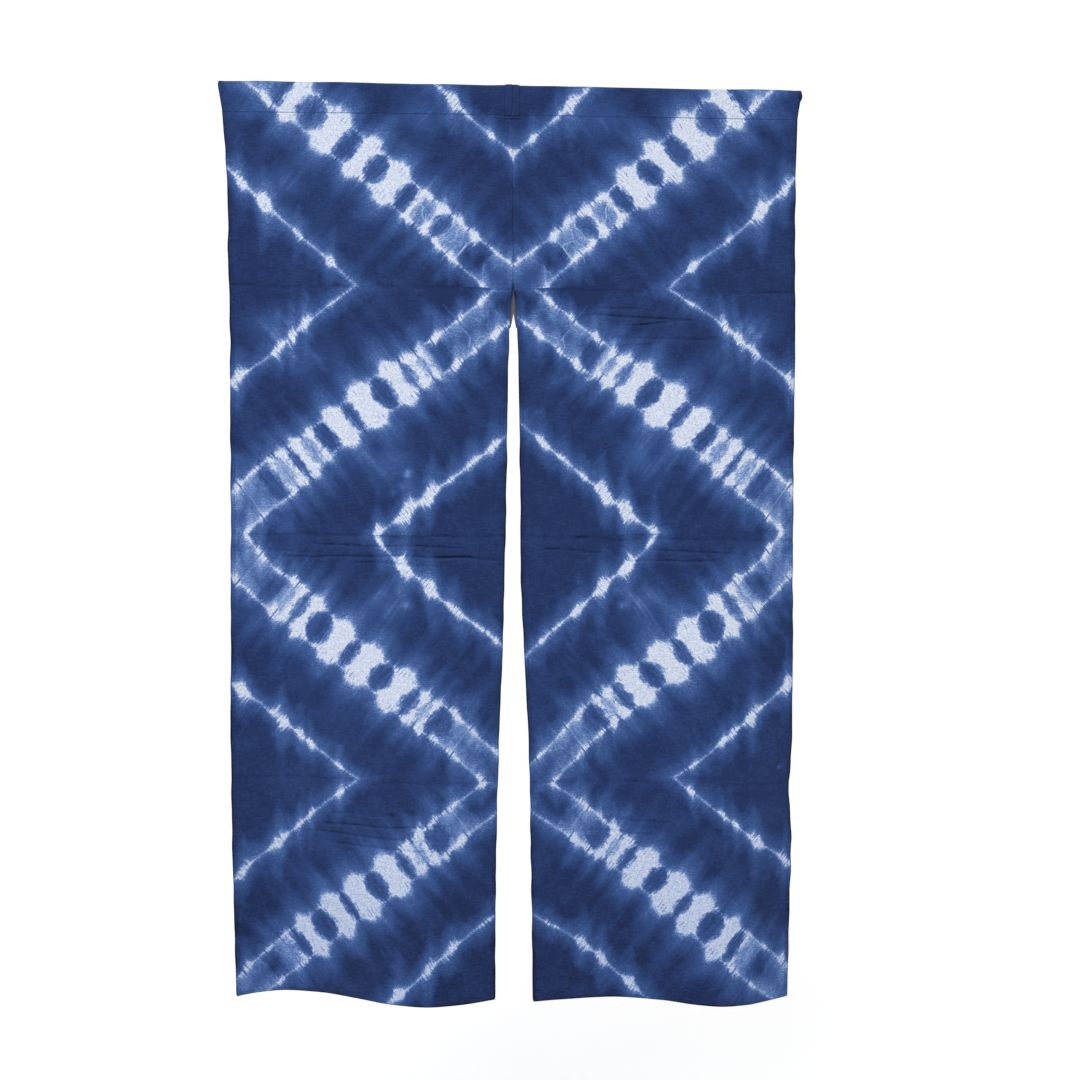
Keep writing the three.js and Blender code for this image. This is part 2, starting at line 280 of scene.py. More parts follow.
def hanging_point(panel, share, drop):
    """x and y of a panel's front face below the heading, in its folds."""
    side = SIDES[panel]
    inner = curve_through(EDGES[panel], "drop", "inner", drop) + side * SEAM_GAP / 2
    outer = curve_through(EDGES[panel], "drop", "outer", drop)
    opened = curve_through(EDGES[panel], "drop", "folds", drop)
    back = opened * curve_through(FOLDS[panel], "share", "back", share) - CAD_CLOTH
    return inner + share * (outer - inner), back


def pocket_profile():
    """The path of the cloth round the rod's place: rows of y, drop and the way along the cloth from the crown,
    which is minus on the back. It starts at the flap's end on the back and stops at the stitching in front."""
    radius = ROD_SPACE / 2 + CAD_CLOTH - CLOTH / 2
    crown = ROD_SPACE / 2 + CAD_CLOTH
    front_foot, back_foot = -CAD_CLOTH + CLOTH / 2, 0.5
    rows = [(back_foot, FLAP_END), (back_foot, HEADING_DEPTH + 2.5)]
    ups = np.linspace(0, 1, 12)
    for up in ups[:-1]:
        rows.append((back_foot + (radius - back_foot) * math.sin(up * math.pi / 2) ** 1.15,
                     HEADING_DEPTH + up * (crown - HEADING_DEPTH)))
    for angle in np.linspace(0, math.pi, 15):
        rows.append((radius * math.cos(angle), crown - radius * math.sin(angle)))
    for up in ups[-2::-1]:
        rows.append((front_foot - (radius + front_foot) * math.sin(up * math.pi / 2) ** 1.15,
                     HEADING_DEPTH + up * (crown - HEADING_DEPTH)))
    rows = np.array(rows)
    way = np.concatenate([[0], np.cumsum(np.hypot(*np.diff(rows, axis=0).T))])
    way -= way[np.argmin(rows[:, 1])]
    return np.column_stack([rows, way])


def crease_lines(panel, across, drop):
    """The storage creases, each with how far off its middle a place lies and how deep it is pressed there."""
    for crease in CREASES:
        if crease["panel"] not in (panel, "both"):
            continue
        (x0, y0), (x1, y1) = crease["from"], crease["to"]
        share = (across - x0) / (x1 - x0)
        bow = 2.0 * soft_noise(int(y0 + x0), across, 0 * across, 150, 90)
        off = drop - (y0 + share * (y1 - y0)) - bow
        length = smooth(share, -0.05, 0.15) * (1 - smooth(share, 0.85, 1.05))
        if crease["panel"] == "both":
            length = 0.7 + 0.3 * soft_noise(int(y0), across, 0 * across, 90, 90)
        yield off / crease["width"], crease["depth"] * length


def crease_relief(panel, across, drop):
    """How far the storage creases press into the cloth, in front."""
    relief = np.zeros(across.shape)
    for off, depth in crease_lines(panel, across, drop):
        relief += depth * (0.6 * hill(off - 2.2, 1.4) - hill(off))
    return relief


def crease_painted_light(panel, across, drop):
    """Painted shade in the storage creases, and painted highlight on their upper sides."""
    shade = np.zeros(across.shape)
    for off, depth in crease_lines(panel, across, drop):
        shade += depth * (hill(off, 0.8) - 0.45 * hill(off - 2.0, 1.2))
    return shade


def cloth_relief(panel, across, drop):
    """The cloth's small forms, as a height in front of its smooth folds."""
    seed = 11 if panel == "left" else 23
    from_outer = FLAT_WIDTH - across
    relief = 0.45 * soft_noise(seed, across, drop, 170, 60)
    relief += 0.16 * soft_noise(seed + 1, across, drop, 60, 14)
    relief += crease_relief(panel, across, drop)
    below = np.maximum(drop - HEADING_DEPTH, 0)
    pucker = np.exp(-below / 16) * smooth(drop, HEADING_DEPTH - 12, HEADING_DEPTH)
    relief += 0.35 * pucker * soft_noise(seed + 2, across, drop, 11, 200)
    relief -= 0.5 * hill(drop - HEADING_DEPTH, 1.6)
    sewn = 1 - smooth(drop, SLIT_TOP - 12, SLIT_TOP)
    in_heading = 1 - smooth(drop, HEADING_DEPTH + 4, HEADING_DEPTH + 10)
    strip = 0.25 + 0.55 * in_heading if panel == "left" else 0.45 + 0.5 * in_heading
    relief += sewn * strip * (1 - smooth(across, SEAM_STRIP - 1.6, SEAM_STRIP - 0.4))
    relief -= sewn * 0.4 * strip * hill(across - SEAM_STRIP)
    relief -= sewn * 0.25 * hill(across)
    for edge, amount in ((from_outer, 1.0), (across, 1.0 - sewn)):
        relief += amount * 0.35 * (1 - smooth(edge, HEM_SIDE - 1, HEM_SIDE + 1))
        relief -= amount * 0.35 * hill(edge - HEM_SIDE + 1.6, 0.9)
    relief += 0.3 * (1 - smooth(LENGTH - drop, HEM_FOOT - 1, HEM_FOOT + 1))
    return relief


def back_layers(across, drop):
    """The extra thickness of the turned hems and the seam's turnings on the back."""
    sewn = 1 - smooth(drop, SLIT_TOP - 8, SLIT_TOP)
    outer = 1 - smooth(FLAT_WIDTH - across, HEM_SIDE - 0.6, HEM_SIDE)
    inner_width = HEM_SIDE + sewn * (SEAM_STRIP - HEM_SIDE)
    inner = 1 - smooth((across - inner_width) / 0.6, -1, 0)
    foot = 1 - smooth(LENGTH - drop, HEM_FOOT - 0.6, HEM_FOOT)
    return HEM_LAYERS * np.maximum(np.maximum(outer, inner), foot)


def grid_lines(start, end, step, close):
    """Even steps from start to end, with closer ones at both ends as the offsets in close say."""
    count = max(int(round((end - start - 2 * close[-1]) / step)), 1)
    middle = np.linspace(start + close[-1], end - close[-1], count + 1)
    return np.concatenate([start + np.array(close[:-1]), middle, end - np.array(close[:-1])[::-1]])


def panel_rows():
    """Drops of a panel's rows below the heading, closer where creases run and at the hem."""
    rows = set(np.round(grid_lines(HEADING_DEPTH + 1.5, LENGTH, 5.2, (0, 1.5, 3.2, 4.8, 6.4, 8)), 2))
    creased = ((312, 326), (344, 378), (392, 410), (702, 724), (732, 768), (1099, 1123), (1176, 1232))
    for low, high in creased:
        rows.update(np.arange(low, high, 1.6))
    rows = np.array(sorted(rows))
    return rows[np.concatenate([[True], np.diff(rows) > 0.6])]


def line_away(line, across):
    """How far from the near crease a tied line is, at a place across the cloth. Past its ends it runs straight on."""
    points = line["points"]
    inside = curve_through(table("across away", points), "across", "away", across)
    (x0, y0), (x1, y1), (x2, y2), (x3, y3) = *points[:2], *points[-2:]
    lead, tail = (y1 - y0) / (x1 - x0), (y3 - y2) / (x3 - x2)
    return inside + np.minimum(across - x0, 0) * lead + np.maximum(across - x3, 0) * tail


def blob_strength(line, across):
    """How white a tied line is at a place across the cloth."""
    strength = np.full(across.shape, 0.08)
    for place, size, white in line["blobs"]:
        strength = np.maximum(strength, white * hill(across - place, size))
    return strength


def strand_places(strand, u, v):
    """How far aside of a thin pale strand each place lies, minus on one side, and how white the strand is there."""
    aside, white = np.full(u.shape, 99.0), np.zeros(u.shape)
    points = strand["points"]
    for i, ((u0, v0), (u1, v1)) in enumerate(zip(points, points[1:])):
        length = math.hypot(u1 - u0, v1 - v0)
        way = ((u - u0) * (u1 - u0) + (v - v0) * (v1 - v0)) / length
        off = ((u - u0) * (v1 - v0) - (v - v0) * (u1 - u0)) / length
        before, after = np.maximum(-way, 0), np.maximum(way - length, 0)
        away = np.hypot(off, before + after)
        nearer = away < np.abs(aside)
        aside = np.where(nearer, np.where(off < 0, -away, away), aside)
        past_end = (before if i == 0 else 0) + (after if i == len(points) - 2 else 0)
        fading = (1 - smooth(past_end, 0, 4)) * (1 - smooth(away, 4, 8))
        white = np.where(nearer, strand["white"] * fading, white)
    return aside, white


def dye_chart(panel, across, drop):
    """What the dye does at each place, for the material: distances to the tied lines, how white they stayed, the
    way along the band, the nearest blue mark and how far inside the band's white a place is."""
    seed = 41 if panel == "left" else 57
    share = np.clip((across / FLAT_WIDTH - 0.2) / 0.65, -0.3, 1.2)
    drift = {key: curve_through(DRIFT[panel], "drop", key, drop) for key in DRIFT[panel][0]}
    warp_across = across - drift["inner_out"] - (drift["outer_out"] - drift["inner_out"]) * share
    warp_drop = drop - drift["inner_down"] - (drift["outer_down"] - drift["inner_down"]) * share
    warp_across = warp_across + 0.6 * soft_noise(seed, across, drop, 120, 110)
    warp_drop = warp_drop + 0.6 * soft_noise(seed + 2, across, drop, 120, 110)
    names = """outer upper lower inner outer_white upper_white lower_white inner_white along ends
        off half reach blue centre cross cross_white strand strand_white deeper"""
    chart = {name: np.zeros(across.shape) for name in names.split()}
    for patch in PATCHES:
        if patch["panel"] in (panel, "both"):
            wide = hill(warp_across - patch["across"], patch["wide"])
            chart["deeper"] += patch["deeper"] * wide * hill(warp_drop - patch["drop"], patch["tall"])
    for index, fold in enumerate(DYE_FOLDS):
        low, high = sorted((fold["near"], fold["far"]))
        here = (warp_drop >= low) & (warp_drop <= high)
        if not here.any():
            continue
        u = warp_across[here]
        v = np.abs(warp_drop[here] - fold["near"])

        def put(where, **values):
            for name, value in values.items():
                chart[name][here] = np.where(where, value, chart[name][here])

        def in_fold(rows):
            return [row for row in rows if row["fold"] == index]

        lines = {line["line"]: line for line in in_fold(TIED_LINES)}
        for name, line in lines.items():
            slope = (line_away(line, u + 8) - line_away(line, u - 8)) / 16
            chart[name][here] = (v - line_away(line, u)) / np.hypot(1, slope)
            chart[name + "_white"][here] = blob_strength(line, u)

        def centre_away(at):
            return (line_away(lines["upper"], at) + line_away(lines["lower"], at)) / 2

        ends = np.array([60.0, 380.0])
        angle = math.atan2(np.diff(centre_away(ends))[0], ends[1] - ends[0])

        def way(at):
            """The way along the band's centre at a place across the cloth."""
            return float(at * math.cos(angle) + centre_away(np.array([at], float))[0] * math.sin(angle))

        along = u * math.cos(angle) + v * math.sin(angle)
        into = np.full(u.shape, -1e3)
        for mark in in_fold(MARKS):
            centre = way(mark["across"])
            gap = np.abs(along - centre)
            put(mark["half"] - gap > into, off=gap, centre=centre, half=mark["half"], reach=mark["reach"],
                blue=mark["blue"])
            into = np.maximum(into, mark["half"] - gap)
        chart["off"][here] = np.minimum(chart["off"][here], 60)
        for line in in_fold(CROSS_LINES):
            centre = way(line["across"])
            put(np.abs(along - centre) < 14, cross=centre, cross_white=line["white"])
        for strand in in_fold(STRANDS):
            aside, white = strand_places(strand, u, v)
            put(white > chart["strand_white"][here], strand=aside, strand_white=white)
        chart["along"][here] = along
        chart["ends"][here] = np.minimum(along - way(fold["white_from"]), way(fold["white_to"]) - along)
    return chart


def make_mesh(name, corners, faces, material, smooth=True):
    """A piece in the scene, from corners in metres."""
    mesh = bpy.data.meshes.new(name)
    mesh.from_pydata([tuple(c) for c in corners], [], [tuple(f) for f in faces])
    mesh.update()
    mesh.polygons.foreach_set("use_smooth", [smooth] * len(mesh.polygons))
    mesh.materials.append(material)
    piece = bpy.data.objects.new(name, mesh)
    bpy.context.scene.collection.objects.link(piece)
    return piece


# What the cloth's mesh keeps for its material, three values under a name
CHART_COLUMNS = {
    "cloth": "across place seed",
    "band": "along upper lower",
    "thin": "outer inner ends",
    # The third column here, creased, holds the creases' painted shade and highlight
    "thin_white": "outer_white inner_white creased",
    "mark_place": "centre cross cross_white",
    "spots": "spots strand strand_white",
    "patch": "deeper deeper deeper",
    "band_white": "upper_white lower_white reach",
    "mark": "off half blue",
}


def store_vectors(mesh, name, columns):
    """Keeps three values for each place on the sheet, in front and behind, for the material to read."""
    values = np.column_stack([np.tile(column.ravel(), 2) for column in columns])
    attribute = mesh.attributes.new(name, "FLOAT_VECTOR", "POINT")
    attribute.data.foreach_set("vector", values.astype(np.float32).ravel())


def cloth_surface(panel):
    """The sheet's front and back faces over a grid of places, in millimetres, with the cloth's own coordinates."""
    side = SIDES[panel]
    edge_steps = (0, 0.8, 2.4, 4.2, 5.6, 6.4, 7.2, 8.4, 10.4, 12)
    across = grid_lines(0, FLAT_WIDTH, 5.6, edge_steps)
    profile = pocket_profile()
    rows = panel_rows()
    count = len(profile)
    wide = np.tile(across, (count + len(rows), 1))
    share = wide / FLAT_WIDTH
    drop = np.concatenate([profile[:, 1], rows])[:, None] * np.ones_like(share)
    place = drop.copy()
    on_back = profile[:, 2] < 0
    place[:count][on_back] = profile[on_back, 2][:, None]

    x, y = hanging_point(panel, share, drop)
    y += CLOTH / 2
    y[:count] = profile[:, 0][:, None]
    # At the pocket's open end the back layer reaches further out than the front one, most of all on the right
    end = smooth(share, 0.97, 1)
    mouth = np.exp(-(((drop - 8) / 7) ** 4))
    pinched = hill(drop - 34, 34)
    if panel == "right":
        x += np.where(place < 0, 3.5 * mouth, -3.6 * mouth) * end
        x -= 2.4 * pinched * smooth(share, 0.9, 1) * (1 - mouth)
    else:
        x += (1.5 * hill(drop, 5) + 0.9 * pinched) * end
    # The edges waver a little, and the corners at the foot are round
    ripple = 0.8 * soft_noise(61 + side, place, 0 * place, 70, 90) * smooth(drop, 60, 120)
    on_slit = (1 - smooth(share, 0, 0.05)) * smooth(drop, SLIT_TOP + 40, SLIT_TOP + 120)
    x += ripple * (smooth(share, 0.94, 1) + on_slit)
    foot = hill(LENGTH - drop, 2.6)
    x -= side * 1.3 * foot * (smooth(share, 0.985, 1) - (1 - smooth(share, 0, 0.015)))
    z = -drop
    top = 1 - smooth(drop, 4, 30)
    sag = 0.7 * soft_noise(71 + side, wide[:1], 0 * wide[:1], 160, 90)
    sag = sag + 0.8 * hill(wide[:1], 16) - (1.7 if panel == "left" else 0.3) * smooth(wide[:1], 360, FLAT_WIDTH)
    z = z + sag * top

    centre = np.stack([x, y, z], -1)
    along = np.gradient(centre, axis=1)
    down = np.gradient(centre, axis=0)
    front = np.cross(along, down) * -side
    front /= np.linalg.norm(front, axis=-1, keepdims=True)
    # The pocket's back has the front's relief and is sewn in the seam and hemmed like the cloth below it
    relief = cloth_relief(panel, wide, np.abs(place))
    layers = back_layers(wide, np.maximum(place, 0) + (place < 0) * 60)
    outside = centre + front * (relief + CLOTH / 2)[..., None]
    inside = centre + front * (relief - CLOTH / 2 - layers)[..., None]
    return outside, inside, wide, place


def sheet_faces(rows, columns):
    """Faces of a closed sheet: a front grid, a back grid after it, and the rim between them."""
    index = np.arange(rows * columns).reshape(rows, columns)
    behind = index + rows * columns
    a, b, c, d = index[:-1, :-1], index[:-1, 1:], index[1:, 1:], index[1:, :-1]
    quads = [np.stack([a, b, c, d], -1).reshape(-1, 4)]
    e, f, g, h = behind[:-1, :-1], behind[:-1, 1:], behind[1:, 1:], behind[1:, :-1]
    quads.append(np.stack([f, e, h, g], -1).reshape(-1, 4))
    rim = np.concatenate([index[0, :-1], index[:-1, -1], index[-1, :0:-1], index[:0:-1, 0]])
    following = np.roll(rim, -1)
    quads.append(np.stack([following, rim, rim + rows * columns, following + rows * columns], -1))
    return np.concatenate(quads)


def build_sheet(panel, faces_of_cloth, material):
    """One panel's cloth, from the flap on the back over the rod's place and down to the hem."""
    outside, inside, across, place = faces_of_cloth
    corners = np.concatenate([outside.reshape(-1, 3), inside.reshape(-1, 3)]) * MM
    faces = sheet_faces(*across.shape)
    if SIDES[panel] > 0:
        faces = faces[:, ::-1]
    piece = make_mesh(f"cloth_{panel}", corners, faces, material)
    chart = dye_chart(panel, across, place)
    chart["across"], chart["place"] = across, place
    chart["seed"] = np.full(across.shape, PANEL_SEED * SIDES[panel])
    # Painted shade and highlight of the storage creases, kept as creased
    chart["creased"] = crease_painted_light(panel, across, place)
    chart["spots"] = sum(white * np.exp(-((across - at) ** 2 + (place - down) ** 2) / size**2)
                         for at, down, size, white in SPOTS[panel])
    for name, columns in CHART_COLUMNS.items():
        store_vectors(piece.data, name, [chart[column] for column in columns.split()])
    return piece


class Surface:
    """A panel's front and back faces, read at any place on the cloth."""

    def __init__(self, outside, inside, across, place):
        self.faces = {"front": outside, "back": inside}
        self.across = across[0]
        self.place = place[:, 0]

    def at(self, across, place, face):
        """Points on a face, in millimetres, between the four nearest corners of the grid."""
        grid = self.faces[face]
        row = np.clip(np.searchsorted(self.place, place) - 1, 0, len(self.place) - 2)
        column = np.clip(np.searchsorted(self.across, across) - 1, 0, len(self.across) - 2)
        down = ((place - self.place[row]) / (self.place[row + 1] - self.place[row]))[:, None]
        out = ((across - self.across[column]) / (self.across[column + 1] - self.across[column]))[:, None]
        upper = grid[row, column] * (1 - out) + grid[row, column + 1] * out
        lower = grid[row + 1, column] * (1 - out) + grid[row + 1, column + 1] * out
        return upper * (1 - down) + lower * down

    def away(self, across, place, face):
        """The way straight out of a face."""
        wide = self.at(across + 0.6, place, face) - self.at(across - 0.6, place, face)
        tall = self.at(across, place + 0.6, face) - self.at(across, place - 0.6, face)
        out = np.cross(wide, tall)
        out /= np.linalg.norm(out, axis=1, keepdims=True)
        other = "back" if face == "front" else "front"
        inward = self.at(across, place, other) - self.at(across, place, face)
        return out * -np.sign((out * inward).sum(1, keepdims=True))


STITCH_SIDES = 5


def stitch_run(surface, start, end, face, pitch=3.3, length=2.5, radius=0.27):
    """Corners and faces of a row of stitches from one place on the cloth to another."""
    span = math.hypot(end[0] - start[0], end[1] - start[1])
    count = max(int(span / pitch), 1)
    rng = np.random.default_rng(int(span * 10) + len(face))
    at = (np.arange(count) + 0.5 + rng.uniform(-0.08, 0.08, count)) / count
    heads, tails = at - length / span / 2, at + length / span / 2
    drift = rng.uniform(-0.12, 0.12, count)
    across = [start[0] + (end[0] - start[0]) * t + drift for t in (heads, at, tails)]
    place = [start[1] + (end[1] - start[1]) * t for t in (heads, at, tails)]
    head, tail = surface.at(across[0], place[0], face), surface.at(across[2], place[2], face)
    lift = surface.away(across[1], place[1], face)
    way = (tail - head) / np.linalg.norm(tail - head, axis=1, keepdims=True)
    side = np.cross(way, lift)
    rings = []
    for share in (0.22, 0.78):
        middle = head + (tail - head) * share + lift * radius * 0.35
        for turn in np.arange(STITCH_SIDES) * 2 * math.pi / STITCH_SIDES:
            rings.append(middle + radius * (math.cos(turn) * side + math.sin(turn) * lift))
    corners = np.stack([head - lift * radius * 0.5, *rings, tail - lift * radius * 0.5], 1)
    faces = []
    for i in range(STITCH_SIDES):
        near, beside = 1 + i, 1 + (i + 1) % STITCH_SIDES
        far, far_beside = near + STITCH_SIDES, beside + STITCH_SIDES
        faces += [(0, beside, near), (near, beside, far_beside, far), (2 * STITCH_SIDES + 1, far, far_beside)]
    return corners, faces


def sew_runs(name, runs, material):
    """One piece from several rows of stitches."""
    corners, faces, start = [], [], 0
    for block, pattern in runs:
        corners.append(block.reshape(-1, 3))
        stitches, each = block.shape[:2]
        for i in range(stitches):
            faces += [tuple(start + each * i + k for k in face) for face in pattern]
        start += each * stitches
    return make_mesh(name, np.concatenate(corners) * MM, faces, material)


def sew_panel(panel, surface, material):
    """The stitching that shows on a panel: its side hems, its foot hem and the pocket's line, in front and behind."""
    flap = pocket_profile()[1, 2] + 2.5
    outer, inner, foot = FLAT_WIDTH - 6.3, 6.3, LENGTH - 4.6
    runs = []
    for face in ("front", "back"):
        runs.append(stitch_run(surface, (outer, 3), (outer, LENGTH - 5), face))
        runs.append(stitch_run(surface, (inner, SLIT_TOP + 4), (inner, LENGTH - 5), face))
        runs.append(stitch_run(surface, (5, foot), (FLAT_WIDTH - 5, foot), face))
    line_end = HEADING_DEPTH + (2.7 if panel == "left" else 0)
    runs.append(stitch_run(surface, (SEAM_STRIP, HEADING_DEPTH), (FLAT_WIDTH - 2, line_end), "front", radius=0.34))
    runs.append(stitch_run(surface, (4, flap), (FLAT_WIDTH - 4, flap), "front"))
    return sew_runs(f"stitches_{panel}", runs, material)


def tack_seam(surfaces, material):
    """The two short rows of close stitches that hold the seam below the pocket."""
    runs = []
    for place, reach in zip(TACK_ROWS, (12.5, 11.5)):
        for surface in surfaces.values():
            runs.append(stitch_run(surface, (0.8, place), (reach, place), "front", 1.9, 1.7, 0.42))
            runs.append(stitch_run(surface, (0.8, place + 0.6), (reach, place + 0.6), "front", 2.1, 1.7, 0.36))
    return sew_runs("seam_tack", runs, material)


def build_turning(material):
    """The seam's turnings on the back. Their ends show in shade behind the top of the slit and spread apart."""
    half_width, thickness, seam_end = 9, 0.8, 303
    start, bend, notch, end = 46.5, 304, 361, 384
    across = np.linspace(-half_width, half_width, 19)
    drop = np.concatenate([np.linspace(start, 300, 60), np.linspace(bend, end, 34)])
    wide, tall = np.meshgrid(across, drop)
    # Its lower end is cut to a notch: each column of corners below the slit's top is drawn up to the cut
    cut = np.minimum(notch + 6.0 * np.abs(wide) ** 0.9, end)
    tall = np.where(tall > bend, bend + (tall - bend) * (cut - bend) / (end - bend), tall)
    wide = wide + curve_through(EDGES["left"], "drop", "inner", np.minimum(tall, seam_end))
    wide = wide + 1.6 * smooth(tall, seam_end, 366)
    back = 1.0 + 0.3 * np.cos(wide * 0.8) + 0.2 * soft_noise(91, wide, tall, 12, 16)
    front_face = np.stack([wide, back, -tall], -1).reshape(-1, 3)
    corners = np.concatenate([front_face, front_face + (0, thickness, 0)]) * MM
    return make_mesh("seam_turning", corners, sheet_faces(*wide.shape), material)


def feed(tree, node, values):
    """Gives a node's inputs, by name or number, their constants or the values of other nodes."""
    for name, value in values.items():
        if isinstance(value, Rule):
            tree.links.new(value.socket, node.inputs[name])
        else:
            node.inputs[name].default_value = value


class Rule:
    """A value in a material's nodes, so that the dye's rules can be written as sums and products."""

    def __init__(self, tree, socket):
        self.tree = tree
        self.socket = socket

    def math(self, operation, *others, clamp=False):
        """The result of one of Blender's sums with this value and others."""
        node = self.tree.nodes.new("ShaderNodeMath")
        node.operation = operation
        node.use_clamp = clamp
        feed(self.tree, node, dict(enumerate((self, *others))))
        return Rule(self.tree, node.outputs[0])

    def __add__(self, other):
        return self.math("ADD", other)

    __radd__ = __add__

    def __mul__(self, other):
        return self.math("MULTIPLY", other)

    __rmul__ = __mul__

    def __sub__(self, other):
        return self.math("SUBTRACT", other)

    def __rsub__(self, other):
        return (self * -1.0) + other

    def __truediv__(self, other):
        return self.math("DIVIDE", other)

    def __neg__(self):
        return self * -1.0

    def __abs__(self):
        return self.math("ABSOLUTE")

    def clamp(self):
        """Nothing below 0 or above 1."""
        return self.math("ADD", 0.0, clamp=True)

    def least(self, other):
        """The lesser of two values."""
        return self.math("MINIMUM", other)

    def most(self, other):
        """The greater of two values."""
        return self.math("MAXIMUM", other)

    def hill(self):
        """1 at zero, falling off like a bell."""
        return (self * self * -1.0).math("EXPONENT")

    def step(self, low, high):
        """0 below low, 1 above high, and a smooth step between them."""
        node = self.tree.nodes.new("ShaderNodeMapRange")
        node.interpolation_type = "SMOOTHSTEP"
        feed(self.tree, node, {"Value": self, "From Min": low, "From Max": high})
        return Rule(self.tree, node.outputs["Result"])


def split_vector(tree, socket):
    """A vector's three values."""
    split = tree.nodes.new("ShaderNodeSeparateXYZ")
    tree.links.new(socket, split.inputs[0])
    return [Rule(tree, split.outputs[i]) for i in range(3)]


def read_vector(tree, name):
    """The three values that a mesh keeps under a name."""
    source = tree.nodes.new("ShaderNodeAttribute")
    source.attribute_name = name
    return split_vector(tree, source.outputs["Vector"])


def nearest(distances):
    """The way to the nearest of several lines, from their distances on either side."""
    least = abs(distances[0])
    for distance in distances[1:]:
        least = least.least(abs(distance))
    return least


def noise(tree, x, y, z, detail=2.0, roughness=0.5):
    """Soft noise between 0 and 1 over three coordinates, each in sizes of one feature."""
    join = tree.nodes.new("ShaderNodeCombineXYZ")
    feed(tree, join, dict(enumerate((x, y, z))))
    node = tree.nodes.new("ShaderNodeTexNoise")
    feed(tree, node, {"Vector": Rule(tree, join.outputs[0]), "Scale": 1.0, "Detail": detail, "Roughness": roughness})
    return Rule(tree, node.outputs[0])


def ramp(tree, value, stops):
    """A colour for a value, through rows of place and colour."""
    node = tree.nodes.new("ShaderNodeValToRGB")
    node.color_ramp.interpolation = "EASE"
    elements = node.color_ramp.elements
    while len(elements) < len(stops):
        elements.new(0.5)
    for element, stop in zip(elements, stops):
        element.position = stop["at"]
        element.color = (*[linear(c) / LIGHT_GAIN for c in stop["colour"]], 1)
    feed(tree, node, {0: value})
    return Rule(tree, node.outputs["Color"])


def linear(level):
    """A screen level between 0 and 255 as a linear value."""
    level = level / 255
    return level / 12.92 if level <= 0.04045 else ((level + 0.055) / 1.055) ** 2.4


# How the dyed cotton looks in the photograph by how much dye it took up
# The last stop, past 0.92, is reached only where painted shade is added to the dye
INDIGO = table("at colour", [
    (0.0, (227, 233, 244)), (0.12, (190, 202, 226)), (0.25, (134, 160, 207)), (0.37, (97, 127, 183)),
    (0.5, (67, 96, 152)), (0.64, (52, 79, 134)), (0.77, (43, 65, 114)), (0.92, (33, 49, 92)), (1.0, (17, 25, 49)),
])
# The light on the cloth is this much stronger than on the photograph's white surround
LIGHT_GAIN = 1.27


def new_material(name):
    """A material with its node tree and its shader."""
    material = bpy.data.materials.new(name)
    material.use_nodes = True
    return material, material.node_tree, material.node_tree.nodes["Principled BSDF"]


def add_bump(tree, shader, height, strength, distance):
    """Fine relief from a height, with its full depth in metres."""
    bump = tree.nodes.new("ShaderNodeBump")
    feed(tree, bump, {"Strength": strength, "Distance": distance, "Height": height})
    feed(tree, shader, {"Normal": Rule(tree, bump.outputs[0])})


def past_tied_line(distance, white, comb, fade, wobble):
    """How far past the edge of a tied line's white a place lies, in mm. The comb makes hairs square to the line."""
    off = abs(distance + wobble * 6.0)
    width = white * 12.5 - 1.8 + comb * (2.6 + white * 8.2) + fade * (1.6 + white * 4.5)
    return off * (1.8 - white * 0.9) - width


